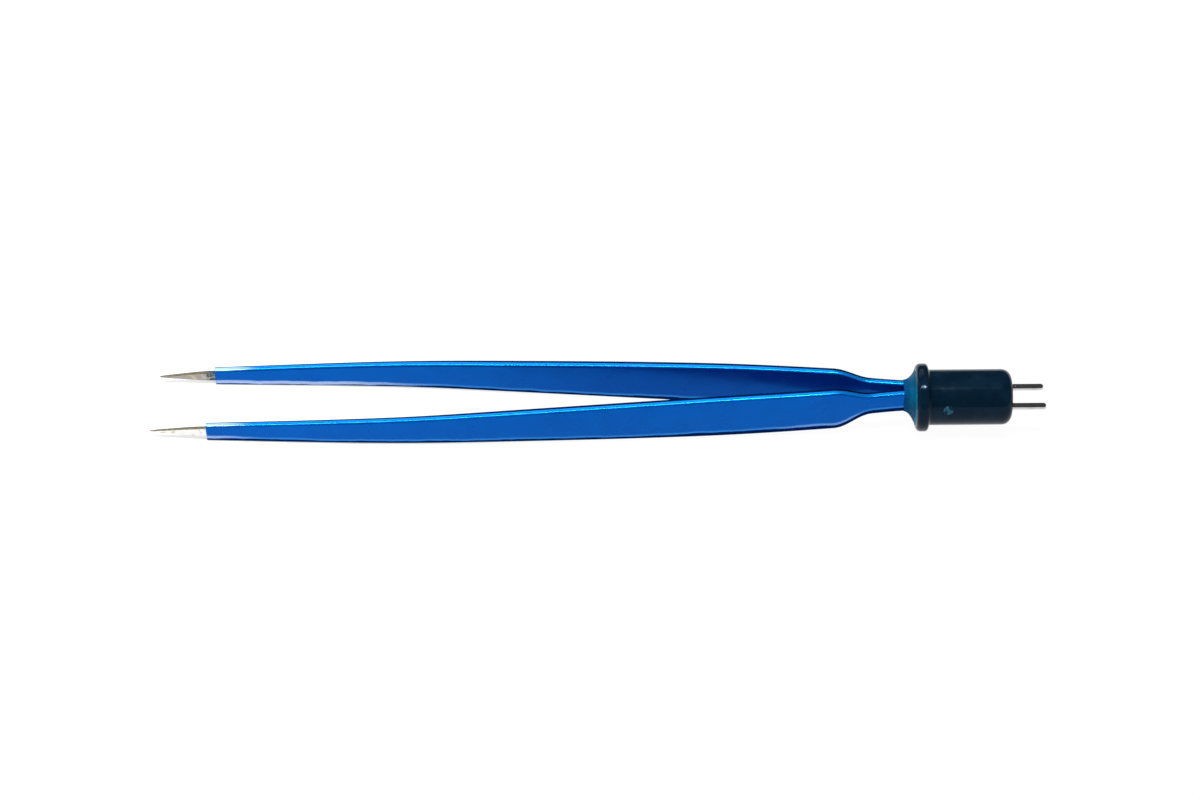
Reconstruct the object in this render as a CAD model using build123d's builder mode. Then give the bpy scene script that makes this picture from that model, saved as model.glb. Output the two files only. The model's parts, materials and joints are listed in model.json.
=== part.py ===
from build123d import *
import os
from math import asin, atan, cos, hypot, radians, sin

os.makedirs("parts", exist_ok=True)

# Straight bipolar forceps: two coated spring blades with bare steel tips, potted in a two-pin plug.
# All sizes are in millimetres. Along the instrument's own axis, x runs from the tips to the pins,
# with 0 at half the length. The arms close towards each other across the axis.

# Lengths along the axis
overall_length = 200.0
bare_tip_length = 12.6
tip_nose_length = 3.0
front_taper_length = 42.0
grip_length = 30.0
shoulder_length = 8.0
neck_length = 7.4
cone_length = 2.6
flange_thickness = 2.8
body_length = 18.7
pin_reach = 7.6
coat_entry = 3.6
tail_entry = 8.4

# Widths of a coated arm, seen from its flat side
front_width = 4.3
middle_width = 6.7
grip_front_width = 10.4
grip_width = 10.6
neck_width = 5.2
neck_rise = 0.7

# Thicknesses of a coated arm, seen from above
front_thickness = 1.6
middle_thickness = 1.8
grip_thickness = 2.0
neck_thickness = 1.8
coat_thickness = 0.35
coat_bevel = 0.3
long_edge_run = 1.0

# The bare tip
tip_root_width = 2.3
tip_nose_width = 0.9
tip_point_width = 0.4
tip_nose_thickness = 0.6
tip_point_thickness = 0.35

# The bow: how far the middle of an arm stands from the axis
tip_offset = 9.05
front_offset = 9.3
middle_offset = 9.4
waist_offset = 8.15
waist_run = 28.4
grip_front_offset = 5.8
grip_end_offset = 3.45
mouth_offset = 1.65
tail_offset = 1.45

# The plug
flange_diameter = 15.3
flange_rounding = 1.2
body_diameter = 12.5
body_rear_rounding = 2.2
flange_rear_bevel = 0.7
bore_diameter = 9.6
mouth_flare = 0.8
rear_wall = 3.2
cone_front_radius = 4.7
cone_waist_length = 1.7
cone_waist_radius = 5.2
cone_base_diameter = 12.7
fill_hole_diameter = 2.4
fill_hole_setback = 4.2
fill_hole_angle = radians(13.0)
fill_hole_sink = 0.15
neck_clearance = 0.2
tail_swing_room = 0.9

# The contact pins
pin_diameter = 1.5
pin_spacing = 6.35
pin_nose_radius = 0.6
shank_diameter = 2.3
collar_diameter = 3.0
collar_length = 1.2
tang_width = 2.0
tang_thickness = 0.8
tang_gap = 0.8

# Stations along the axis
tip_x = -overall_length / 2
tip_nose_x = tip_x + tip_nose_length
coat_front_x = tip_x + bare_tip_length
middle_x = coat_front_x + front_taper_length
pin_end_x = overall_length / 2
body_end_x = pin_end_x - pin_reach
flange_rear_x = body_end_x - body_length
flange_front_x = flange_rear_x - flange_thickness
mouth_x = flange_front_x - cone_length
waist_x = middle_x + waist_run
neck_start_x = mouth_x - neck_length
grip_end_x = neck_start_x - shoulder_length
grip_front_x = grip_end_x - grip_length
coat_end_x = mouth_x + coat_entry
tail_end_x = mouth_x + tail_entry
bore_floor_x = body_end_x - rear_wall
collar_front_x = bore_floor_x - collar_length
tang_end_x = tail_end_x + tang_gap
fill_hole_x = flange_rear_x + fill_hole_setback
pocket_end_x = tail_end_x + neck_clearance
pocket_inner = tail_offset - neck_thickness / 2 - neck_clearance

# At rest the instrument lies on the flange's rim and on the lower front corners of both coats
rim_centre_x = flange_front_x + flange_rounding
rim_run = rim_centre_x - coat_front_x
rim_drop = flange_diameter / 2 - flange_rounding - front_width / 2
pitch = atan(rim_drop / rim_run) + asin(flange_rounding / hypot(rim_run, rim_drop))
axis_height = -coat_front_x * sin(pitch) + front_width / 2 * cos(pitch)

# Planes and axis of the instrument as it lies
origin = Vector(0, 0, axis_height)
along = Vector(cos(pitch), 0, sin(pitch))
upward = Vector(-sin(pitch), 0, cos(pitch))
across = Vector(0, 1, 0)
plan_plane = Plane(origin=origin, x_dir=along, z_dir=upward)
side_plane = Plane(origin=origin, x_dir=along, z_dir=-across)
plug_axis = Axis(origin, along)
cut_depth = overall_length / 4


def cross_plane(x):
    """The plane square to the axis at a station."""
    return Plane(origin=origin + along * x, x_dir=across, z_dir=along)


def runs_along(edge):
    """Whether an edge runs along the arm and not round its end."""
    return abs((edge @ 1 - edge @ 0).dot(along)) > long_edge_run


def outline(shrink, front_x, front_half, rear_x):
    """The flat side of an arm behind its front station, less a skin of the given thickness."""
    neck_half = neck_width / 2 - shrink
    for side in (1, -1):
        Spline(
            (front_x, side * front_half),
            (middle_x, side * (middle_width / 2 - shrink)),
            (grip_front_x, side * (grip_front_width / 2 - shrink)),
            (grip_end_x, side * (grip_width / 2 - shrink)),
            tangents=((1, side * (middle_width - front_width) / 2 / front_taper_length), (1, 0)),
        )
        Spline(
            (grip_end_x, side * (grip_width / 2 - shrink)),
            (neck_start_x, neck_rise + side * neck_half),
            tangents=((1, 0), (1, 0)),
        )
        Line((neck_start_x, neck_rise + side * neck_half), (rear_x, neck_rise + side * neck_half))
    Line((rear_x, neck_rise + neck_half), (rear_x, neck_rise - neck_half))


def bowed_face(side, face, skin):
    """One face of the bowed strip, seen from above: the outer one if face is 1, the inner one if -1."""
    stations = (
        (coat_front_x, front_offset, front_thickness),
        (middle_x, middle_offset, middle_thickness),
        (waist_x, waist_offset, grip_thickness),
        (grip_front_x, grip_front_offset, grip_thickness),
        (grip_end_x, grip_end_offset, grip_thickness),
        (mouth_x, mouth_offset, neck_thickness),
        (tail_end_x, tail_offset, neck_thickness),
    )
    points = [(x, side * (y + face * (thick / 2 - skin))) for x, y, thick in stations]
    return Spline(*points, tangents=((1, 0), (1, 0)))


# The arms, one on each side of the axis: near is towards -Y, far is towards +Y
for name, side in (("near", -1), ("far", 1)):
    # The steel blade: its flat outline with the tapered tip, cut to the bowed strip
    with BuildPart() as blade:
        with BuildSketch(side_plane):
            with BuildLine():
                outline(coat_thickness, coat_front_x, tip_root_width / 2, tail_end_x)
                for edge_side in (1, -1):
                    Polyline(
                        (coat_front_x, edge_side * tip_root_width / 2),
                        (tip_nose_x, edge_side * tip_nose_width / 2),
                        (tip_x, edge_side * tip_point_width / 2),
                    )
                Line((tip_x, tip_point_width / 2), (tip_x, -tip_point_width / 2))
            make_face()
        extrude(amount=cut_depth, both=True)
        with BuildSketch(plan_plane):
            with BuildLine():
                outer = bowed_face(side, 1, coat_thickness)
                inner = bowed_face(side, -1, coat_thickness)
                Line(outer @ 1, inner @ 1)
                for start, face in ((outer @ 0, 1), (inner @ 0, -1)):
                    Polyline(
                        start,
                        (tip_nose_x, side * (tip_offset + face * tip_nose_thickness / 2)),
                        (tip_x, side * (tip_offset + face * tip_point_thickness / 2)),
                    )
                Line(
                    (tip_x, side * (tip_offset + tip_point_thickness / 2)),
                    (tip_x, side * (tip_offset - tip_point_thickness / 2)),
                )
            make_face()
        extrude(amount=cut_depth, both=True, mode=Mode.INTERSECT)
    blade.part.label = f"{name}_blade"
    export_step(blade.part, f"parts/{name}_blade.step")

    # The coating: the same bowed outline with its full thickness and bevelled long edges, less the blade
    with BuildPart() as insulation:
        with BuildSketch(side_plane):
            with BuildLine():
                outline(0, coat_front_x, front_width / 2, coat_end_x)
                Line((coat_front_x, front_width / 2), (coat_front_x, -front_width / 2))
            make_face()
        extrude(amount=cut_depth, both=True)
        with BuildSketch(plan_plane):
            with BuildLine():
                outer = bowed_face(side, 1, 0)
                inner = bowed_face(side, -1, 0)
                Line(outer @ 0, inner @ 0)
                Line(outer @ 1, inner @ 1)
            make_face()
        extrude(amount=cut_depth, both=True, mode=Mode.INTERSECT)
        chamfer(insulation.edges().filter_by(runs_along), coat_bevel)
        add(blade.part, mode=Mode.SUBTRACT)
    insulation.part.label = f"{name}_insulation"
    export_step(insulation.part, f"parts/{name}_insulation.step")

# The contact pins: rounded outside, with a collar against the rear wall's inside and a tang to solder to
pins = {}
for name, side in (("near", -1), ("far", 1)):
    pin_origin = origin + across * (side * pin_spacing / 2)
    with BuildPart() as pin:
        with BuildSketch(Plane(origin=pin_origin, x_dir=along, z_dir=-across)):
            with BuildLine():
                Polyline(
                    (collar_front_x, 0),
                    (collar_front_x, collar_diameter / 2),
                    (bore_floor_x, collar_diameter / 2),
                    (bore_floor_x, shank_diameter / 2),
                    (body_end_x, shank_diameter / 2),
                    (body_end_x, pin_diameter / 2),
                    (pin_end_x, pin_diameter / 2),
                    (pin_end_x, 0),
                    close=True,
                )
            make_face()
        revolve(axis=Axis(pin_origin, along))
        fillet(pin.faces().sort_by(plug_axis)[-1].edges(), pin_nose_radius)
        with BuildSketch(cross_plane(collar_front_x)):
            with Locations((side * pin_spacing / 2, 0)):
                Rectangle(tang_thickness, tang_width)
        extrude(amount=tang_end_x - collar_front_x)
    pin.part.label = f"{name}_contact_pin"
    export_step(pin.part, f"parts/{name}_contact_pin.step")
    pins[name] = pin.part

# The side of the plug that the fill hole is drilled from
hole_side = Vector(0, 0, 0) - across * cos(fill_hole_angle) + upward * sin(fill_hole_angle)
hole_plane = Plane(origin=origin + along * fill_hole_x, x_dir=along, z_dir=hole_side)

# The moulded shell: a flanged cup turned about the axis, with the fill hole and two pin holes
with BuildPart() as plug_shell:
    with BuildSketch(side_plane):
        with BuildLine():
            rim = FilletPolyline(
                (flange_front_x, bore_diameter / 2 + mouth_flare),
                (flange_front_x, flange_diameter / 2),
                (flange_rear_x - flange_rear_bevel, flange_diameter / 2),
                radius=flange_rounding,
            )
            body = FilletPolyline(
                (flange_rear_x, body_diameter / 2),
                (body_end_x, body_diameter / 2),
                (body_end_x, 0),
                radius=body_rear_rounding,
            )
            Polyline(rim @ 1, (flange_rear_x, flange_diameter / 2 - flange_rear_bevel), body @ 0)
            Polyline(
                body @ 1,
                (bore_floor_x, 0),
                (bore_floor_x, bore_diameter / 2),
                (flange_front_x + mouth_flare, bore_diameter / 2),
                rim @ 0,
            )
        make_face()
    revolve(axis=plug_axis)
    with BuildSketch(hole_plane):
        Circle(fill_hole_diameter / 2)
    extrude(amount=body_diameter, mode=Mode.SUBTRACT)
    with BuildSketch(cross_plane(bore_floor_x)):
        with GridLocations(pin_spacing, 0, 2, 1):
            Circle(shank_diameter / 2)
    extrude(amount=body_length, mode=Mode.SUBTRACT)
plug_shell.part.label = "plug_shell"
export_step(plug_shell.part, "parts/plug_shell.step")

# The potting: resin that fills the shell and its fill hole, and flares from the necks to the flange
with BuildPart() as potting:
    with BuildSketch(side_plane):
        with BuildLine():
            Polyline(
                (mouth_x, 0),
                (mouth_x, cone_front_radius),
                (mouth_x + cone_waist_length, cone_waist_radius),
                (flange_front_x, cone_base_diameter / 2),
                (flange_front_x, bore_diameter / 2 + mouth_flare),
                (flange_front_x + mouth_flare, bore_diameter / 2),
                (bore_floor_x, bore_diameter / 2),
                (bore_floor_x, 0),
                close=True,
            )
        make_face()
    revolve(axis=plug_axis)
    with BuildSketch(hole_plane):
        Circle(fill_hole_diameter / 2)
    extrude(amount=body_diameter / 2 - fill_hole_sink)
    for pin_part in pins.values():
        add(pin_part, mode=Mode.SUBTRACT)
    # A pocket for each neck and tail, wider behind, where the tail swings out as the arm closes
    for side in (-1, 1):
        with BuildSketch(plan_plane.offset(neck_rise)):
            with BuildLine():
                Polyline(
                    (mouth_x - cone_length, side * pocket_inner),
                    (mouth_x - cone_length, side * (mouth_offset + neck_thickness / 2 + neck_clearance)),
                    (mouth_x, side * (mouth_offset + neck_thickness / 2 + neck_clearance)),
                    (pocket_end_x, side * (tail_offset + neck_thickness / 2 + tail_swing_room)),
                    (pocket_end_x, side * pocket_inner),
                    close=True,
                )
            make_face()
        extrude(amount=neck_width / 2 + neck_clearance, both=True, mode=Mode.SUBTRACT)
potting.part.label = "potting"
export_step(potting.part, "parts/potting.step")
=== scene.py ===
"""Finishes of the bipolar forceps: coated arms, bare steel tips, moulded plug, potting resin and pins."""

import json
import math

import bmesh
import bpy
from bpy.props import FloatProperty, FloatVectorProperty, IntProperty, PointerProperty
from mathutils import Matrix, Quaternion, Vector, noise


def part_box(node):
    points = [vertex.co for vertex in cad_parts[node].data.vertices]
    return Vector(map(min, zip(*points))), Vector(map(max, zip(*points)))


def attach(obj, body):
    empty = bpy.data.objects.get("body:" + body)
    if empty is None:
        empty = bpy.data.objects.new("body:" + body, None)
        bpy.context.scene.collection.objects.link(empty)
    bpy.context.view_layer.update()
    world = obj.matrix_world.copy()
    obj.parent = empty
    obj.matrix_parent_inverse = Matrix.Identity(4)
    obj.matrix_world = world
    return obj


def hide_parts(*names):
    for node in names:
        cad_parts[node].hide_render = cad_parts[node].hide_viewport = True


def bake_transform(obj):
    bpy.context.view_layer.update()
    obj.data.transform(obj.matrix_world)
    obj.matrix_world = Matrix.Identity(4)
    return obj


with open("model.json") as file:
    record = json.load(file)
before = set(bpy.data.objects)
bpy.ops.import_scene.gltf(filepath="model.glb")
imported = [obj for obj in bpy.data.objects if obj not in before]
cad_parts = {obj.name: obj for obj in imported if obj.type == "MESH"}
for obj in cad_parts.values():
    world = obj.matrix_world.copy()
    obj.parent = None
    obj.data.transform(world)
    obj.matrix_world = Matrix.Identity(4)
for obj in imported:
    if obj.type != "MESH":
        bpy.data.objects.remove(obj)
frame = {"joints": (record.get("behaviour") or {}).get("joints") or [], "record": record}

bl_info = {
    "name": "Bipolar Forceps",
    "version": (1, 0, 0),
    "blender": (4, 5, 0),
    "location": "View3D > Sidebar > Forceps",
    "description": "Coated spring arms with bare tips, potted in a two-pin plug",
    "category": "Object",
}

MM = 0.001
SIDES = {"near": -1, "far": 1}
SAME_PLACE = 0.001 * MM
MERGE_DISTANCE = 0.0001 * MM

# Stretches of the frame, in millimetres from the object's middle, over which a finish or a painted light or
# shade changes
CROWN_FRONT_GLINT = (-84, -77)
OUTER_REFLECTION = (-86, -74)
INNER_REFLECTION = (-62, -32)
INNER_SHADE = (-35, 15)
EDGE_RISE = (-5, 35)
HEEL_START = (34, 50)
HEEL_END = (56, 60)
TABLE_SHADE = (-80, 0)

# Where the instrument lies: its own axis runs from the tips to the pins through the two pin mounts
MOUNTS = {mount["name"]: mount for mount in frame["record"]["mounts"]}
JOINTS = {joint["name"]: joint for joint in frame["joints"]}
ALONG = Vector(MOUNTS["near_pin"]["axis"]).normalized()
ACROSS = Vector((0, 1, 0))
UPWARD = ALONG.cross(ACROSS).normalized()
PINS_MIDDLE = (Vector(MOUNTS["near_pin"]["pos_m"]) + Vector(MOUNTS["far_pin"]["pos_m"])) / 2
ORIGIN = PINS_MIDDLE - ALONG * (PINS_MIDDLE.x / ALONG.x)
LYING = Matrix.Translation(ORIGIN) @ Matrix((ALONG, ACROSS, UPWARD)).transposed().to_4x4()
TO_INSTRUMENT = LYING.inverted()


def station(point):
    """How far along the instrument's axis a point of the frame lies."""
    return (TO_INSTRUMENT @ Vector(point)).x


def node_end(node, end):
    """The station of a node's front end if end is 0, or of its rear end if it is 1."""
    return station(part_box(node)[end])


def size(name, text, millimetres):
    """A length that a user may change."""
    return FloatProperty(name=name, description=text, default=millimetres * MM, unit="LENGTH", precision=5)


def amount(name, text, value):
    """A plain number that a user may change."""
    return FloatProperty(name=name, description=text, default=value)


def colour(name, text, value):
    """A colour that a user may change."""
    return FloatVectorProperty(
        name=name, description=text, default=value, size=3, subtype="COLOR", min=0, max=1
    )


class ArmSizes(bpy.types.PropertyGroup):
    """Sizes of the two arms."""

    bare_tip: size("Bare tip", "Length of the steel tip in front of the coating", 12.6)
    nose: size("Nose", "Length of the slim nose at the end of the tip", 3.0)
    taper: size("Taper", "Length of the front taper of the coated arm", 42.0)
    waist_run: size("Waist run", "From the end of the front taper to the waist of the bow", 28.4)
    grip: size("Grip", "Length of the widest part", 30.0)
    shoulder: size("Shoulder", "Length of the step from the grip down to the neck", 8.0)
    neck: size("Neck", "Length of the narrow neck in front of the resin", 7.4)
    front_width: size("Front width", "Coated width at the front end", 4.3)
    middle_width: size("Middle width", "Coated width at the end of the front taper", 6.7)
    grip_front_width: size("Grip front width", "Coated width where the grip begins", 10.4)
    grip_width: size("Grip width", "Coated width at the rear of the grip", 10.6)
    neck_width: size("Neck width", "Coated width of the neck", 5.2)
    neck_rise: size("Neck rise", "How much higher the neck lies than the grip's middle", 0.7)
    front_thickness: size("Front thickness", "Coated thickness at the front end", 1.6)
    middle_thickness: size("Middle thickness", "Coated thickness at the end of the front taper", 1.8)
    grip_thickness: size("Grip thickness", "Coated thickness of the grip", 2.0)
    neck_thickness: size("Neck thickness", "Coated thickness of the neck", 1.8)
    coat: size("Coat", "Thickness of the coating itself", 0.35)
    rounding: size("Rounding", "Radius of the coating's lower long edges", 0.4)
    upper_rounding: size("Upper rounding", "Radius of the coating's upper long edges", 0.6)
    tip_rounding: size("Tip rounding", "Radius of the steel's edges", 0.1)
    tip_root_width: size("Tip root width", "Width of the bare tip at the coating", 2.3)
    nose_width: size("Nose width", "Width of the tip where the nose begins", 0.9)
    point_width: size("Point width", "Width of the very point", 0.3)
    nose_thickness: size("Nose thickness", "Thickness of the tip where the nose begins", 0.6)
    point_thickness: size("Point thickness", "Thickness of the very point", 0.3)
    tip_offset: size("Tip offset", "From the axis to the tip", 9.05)
    front_offset: size("Front offset", "From the axis to the coating's front end", 9.3)
    middle_offset: size("Middle offset", "From the axis to the arm at the end of the front taper", 9.4)
    waist_offset: size("Waist offset", "From the axis to the arm at the waist of the bow", 8.15)
    grip_front_offset: size("Grip front offset", "From the axis to the front of the grip", 5.8)
    grip_end_offset: size("Grip end offset", "From the axis to the rear of the grip", 3.45)
    mouth_offset: size("Mouth offset", "From the axis to the neck where it enters the resin", 1.65)
    slice_length: size("Slice length", "Distance between the cross edges of an arm's mesh", 1.2)


class PlugSizes(bpy.types.PropertyGroup):
    """Sizes of the plug and its resin."""

    flange_diameter: size("Flange diameter", "Outer diameter of the front flange", 15.3)
    flange_thickness: size("Flange thickness", "Thickness of the front flange", 2.8)
    flange_rounding: size("Flange rounding", "Radius of the flange's front rim", 1.2)
    flange_rear_rounding: size("Flange rear rounding", "Radius of the flange's rear rim", 0.7)
    root_fillet: size("Root fillet", "Hollow radius between the flange and the body", 0.6)
    body_diameter: size("Body diameter", "Diameter of the plug's body", 12.5)
    body_rear_rounding: size("Rear rounding", "Radius of the body's rear rim", 2.2)
    mouth_diameter: size("Mouth diameter", "Diameter of the opening that the resin fills", 11.2)
    mouth_depth: size("Mouth depth", "Depth to which the mouth is modelled under the resin", 3.0)
    cone_length: size("Cone length", "How far the resin flares forward of the flange", 2.6)
    cone_base: size("Cone base", "Diameter of the resin on the flange's face", 12.7)
    resin_margin: size("Resin margin", "Resin round the necks where they enter it", 0.3)
    resin_ripple: size("Resin ripple", "Unevenness of the set resin's edge", 0.16)
    resin_spread: amount("Resin spread", "How suddenly the resin spreads over the flange", 2.0)
    hole_diameter: size("Fill hole diameter", "Diameter of the fill hole", 2.4)
    hole_setback: size("Fill hole setback", "From the flange's rear face to the fill hole", 4.2)
    hole_depth: size("Fill hole depth", "Depth of the fill hole above the resin's plug", 0.9)
    hole_sink: size("Fill hole sink", "How far the resin has sunk in the hole", 0.12)
    hole_angle: FloatProperty(
        name="Fill hole angle",
        description="Angle of the fill hole above the side of the plug",
        default=math.radians(13),
        subtype="ANGLE",
    )
    rings: IntProperty(name="Rings", description="Rings of facets on the resin's flare", default=12, min=3)
    steps: IntProperty(name="Steps", description="Facets round the plug", default=128, min=16)


class PinSizes(bpy.types.PropertyGroup):
    """Sizes of the two contact pins."""

    diameter: size("Diameter", "Diameter of a pin outside the plug", 1.5)
    reach: size("Reach", "How far a pin stands out of the plug", 7.6)
    nose: size("Nose", "Radius of the pin's rounded end", 0.6)
    shank: size("Shank diameter", "Diameter of the pin inside the rear wall", 2.3)
    collar: size("Collar diameter", "Diameter of the collar behind the rear wall", 3.0)
    collar_length: size("Collar length", "Length of the collar", 1.2)
    rear_wall: size("Rear wall", "Thickness of the plug's rear wall", 3.2)
    tang_width: size("Tang width", "Width of the flat tang that the blade is soldered to", 2.0)
    tang_thickness: size("Tang thickness", "Thickness of the tang", 0.8)
    steps: IntProperty(name="Steps", description="Facets round a pin", default=64, min=16)


class Finishes(bpy.types.PropertyGroup):
    """Colours of the materials."""

    coat: colour("Coat", "Blue of the coating", (0.0002, 0.073, 0.41))
    coat_deep: colour("Deep coat", "Blue of the coating in its deeper clouds", (0.0002, 0.064, 0.38))
    # Painted shade: darker blue on the inner faces near the plug, where the other arm shades them
    coat_inner_shade: colour("Inner coat", "Deeper blue of the inner faces near the plug", (0.0001, 0.036, 0.3))
    # Painted shade: navy that stands in for the shade under the lower edge and behind the upper edge
    coat_painted_shade_edge: colour("Coat edge", "Navy of the coating that has run thick on an edge", (0.0, 0.008, 0.07))
    # Painted highlight: brighter blue where the overhead lamps catch the upper edge
    coat_painted_crown_highlight: colour("Crown", "Brighter blue of the thin coating on the upper edge", (0.005, 0.22, 0.76))
    # Painted reflection: the white table reflected as a paler line above the lower edge
    coat_painted_table_reflection: colour("Pale coat", "Paler line above the thick lower edge", (0.03, 0.2, 0.62))
    # Painted highlight: a whitish glint on the crown's front end
    coat_painted_front_glint: colour("Worn crown", "Steel shining through the crown at the front", (0.5, 0.8, 1.0))
    # Painted reflection: the white table reflected pale along the lower edge, broad inside the front and at
    # the heel
    coat_painted_wide_reflection: colour("Rubbed coat", "Coating rubbed pale along the inner lower edge", (0.42, 0.52, 0.78))
    shell: colour("Shell", "Dark blue grey of the moulding", (0.0014, 0.0075, 0.0165))
    shell_bloom: colour("Shell bloom", "Paler bloom on the moulding", (0.0025, 0.012, 0.024))
    resin: colour("Resin", "Teal of the resin", (0.0012, 0.08, 0.16))
    resin_deep: colour("Deep resin", "Teal of the resin where it is deep", (0.001, 0.055, 0.122))
    resin_sheer: colour("Sheer resin", "Blue of the coating seen through thin resin", (0.001, 0.04, 0.13))
    # Painted highlight: a pale line where the resin meets the flange
    resin_painted_rim_highlight: colour("Resin rim", "Thin pale edge of the resin on the flange", (0.02, 0.17, 0.3))
    # Partly painted shade: the resin in the fill hole is dull and also darkened for the shade of the recess
    resin_dull_and_shade: colour("Dull resin", "Dull resin in the fill hole", (0.02, 0.07, 0.11))
    steel: colour("Steel", "Polished outer side of the blades", (0.78, 0.78, 0.76))
    # Partly painted shade: the inner sides are duller ground steel and also darkened for the shade between
    # the arms
    steel_ground_and_shade: colour("Ground steel", "Duller ground inner side of the blades", (0.32, 0.31, 0.29))
    # Painted reflection: dark brown along the tips' upper edge for the dark room reflected there
    steel_painted_dark_top: colour("Burnt steel", "Brown heat tint along the tips' upper edge", (0.16, 0.13, 0.07))
    straw: colour("Straw", "Warm tint of the ground steel", (0.55, 0.45, 0.3))
    residue: colour("Residue", "Torn coating left on the steel", (0.005, 0.04, 0.075))
    pin: colour("Pin", "Plated steel of the pins", (0.6, 0.6, 0.6))


class StageSettings(bpy.types.PropertyGroup):
    """The camera and the lamps."""

    elevation: FloatProperty(
        name="Elevation",
        description="Height angle of the camera",
        default=math.radians(42.4),
        subtype="ANGLE",
    )
    azimuth: FloatProperty(
        name="Azimuth",
        description="How far the camera stands to the side",
        default=math.radians(-0.4),
        subtype="ANGLE",
    )
    roll: FloatProperty(
        name="Roll",
        description="Turn of the camera about its own view",
        default=math.radians(1.27),
        subtype="ANGLE",
    )
    distance: size("Distance", "From the camera to the object", 643.0)
    aside: size("Aside", "How far to the right of the object's middle the camera looks", 0.25)
    lens: amount("Lens", "Focal length in millimetres", 85.8)
    strip_power: amount("Strip power", "Watts of the thin lamp overhead", 5.5)
    plug_power: amount("Plug power", "Watts of the small lamp over the plug", 2.0)
    back_power: amount("Back power", "Watts of the lamp behind", 1.7)
    soft_power: amount("Soft power", "Watts of the wide soft lamp", 6.5)
    sky: amount("Sky", "Strength of the even light all round", 0.42)
    ceiling: amount("Ceiling", "Brightness of the ceiling in reflections", 0.07)


def smooth(stations, x):
    """A smooth curve through (x, value) stations, held level beyond its ends."""
    if x <= stations[0][0]:
        return stations[0][1]
    if x >= stations[-1][0]:
        return stations[-1][1]
    last = len(stations) - 1

    def slope(i):
        if i == last:
            return 0.0
        (x0, y0), (x1, y1) = stations[max(i - 1, 0)], stations[i + 1]
        return (y1 - y0) / (x1 - x0)

    i = max(k for k in range(last) if stations[k][0] <= x)
    (x0, y0), (x1, y1) = stations[i], stations[i + 1]
    run = x1 - x0
    t = (x - x0) / run
    rise = t * t * (3 - 2 * t)
    return y0 + (y1 - y0) * rise + run * t * (1 - t) * (slope(i) * (1 - t) - slope(i + 1) * t)


class ArmForm:
    """The form of an arm along the axis, worked out from its sizes and the frame."""

    def __init__(self, arm):
        self.tip = node_end("near_blade", 0)
        self.coat_front = self.tip + arm.bare_tip
        self.coat_rear = node_end("near_insulation", 1)
        self.tail = node_end("near_blade", 1)
        self.mouth = station(JOINTS["near_arm_flex"]["pos_m"])
        self.nose = self.tip + arm.nose
        middle = self.coat_front + arm.taper
        waist = middle + arm.waist_run
        self.neck = self.mouth - arm.neck
        self.grip_end = self.neck - arm.shoulder
        grip_front = self.grip_end - arm.grip
        self.arm = arm
        self.widths = (
            (self.coat_front, arm.front_width),
            (middle, arm.middle_width),
            (grip_front, arm.grip_front_width),
            (self.grip_end, arm.grip_width),
        )
        self.thicknesses = (
            (self.coat_front, arm.front_thickness),
            (middle, arm.middle_thickness),
            (waist, arm.grip_thickness),
            (self.grip_end, arm.grip_thickness),
            (self.mouth, arm.neck_thickness),
        )
        self.bow = (
            (self.tip, arm.tip_offset),
            (self.coat_front, arm.front_offset),
            (middle, arm.middle_offset),
            (waist, arm.waist_offset),
            (grip_front, arm.grip_front_offset),
            (self.grip_end, arm.grip_end_offset),
            (self.mouth, arm.mouth_offset),
            (self.tail, arm.mouth_offset),
        )
        self.tip_widths = (
            (self.tip, arm.point_width),
            (self.nose, arm.nose_width),
            (self.coat_front, arm.tip_root_width),
        )
        self.tip_thicknesses = (
            (self.tip, arm.point_thickness),
            (self.nose, arm.nose_thickness),
            (self.coat_front, arm.front_thickness - 2 * arm.coat),
        )

    def flat(self, x, skin):
        """Middle height and half width at a station, less a skin of the given thickness."""
        step = min(max((x - self.grip_end) / (self.neck - self.grip_end), 0), 1)
        step = step * step * (3 - 2 * step)
        wide = smooth(self.widths, x) * (1 - step) + self.arm.neck_width * step
        return self.arm.neck_rise * step, wide / 2 - skin

    def coated(self, x):
        """Offset, middle height, half width and half thickness of the coating."""
        height, half = self.flat(x, 0)
        return smooth(self.bow, x), height, half, smooth(self.thicknesses, x) / 2

    def steel(self, x):
        """Offset, middle height, half width and half thickness of the blade."""
        offset = smooth(self.bow, x)
        if x <= self.coat_front:
            return offset, 0, smooth(self.tip_widths, x) / 2, smooth(self.tip_thicknesses, x) / 2
        height, half = self.flat(x, self.arm.coat)
        # Inside the front taper the blade widens from the bare tip's root to the coated width
        gone = min((x - self.coat_front) / self.arm.taper, 1)
        half = self.arm.tip_root_width / 2 * (1 - gone) + half * gone
        return offset, height, half, smooth(self.thicknesses, x) / 2 - self.arm.coat


def new_piece(name, bm, material, body=None):
    """An object from a mesh in the instrument's own axes, laid down where the frame has it."""
    bmesh.ops.recalc_face_normals(bm, faces=bm.faces)
    bmesh.ops.transform(bm, matrix=LYING, verts=bm.verts)
    mesh = bpy.data.meshes.new(name)
    bm.to_mesh(mesh)
    bm.free()
    mesh.shade_smooth()
    mesh.materials.append(material)
    piece = bpy.data.objects.new(name, mesh)
    bpy.context.scene.collection.objects.link(piece)
    if body:
        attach(piece, body)
    return piece


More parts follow.
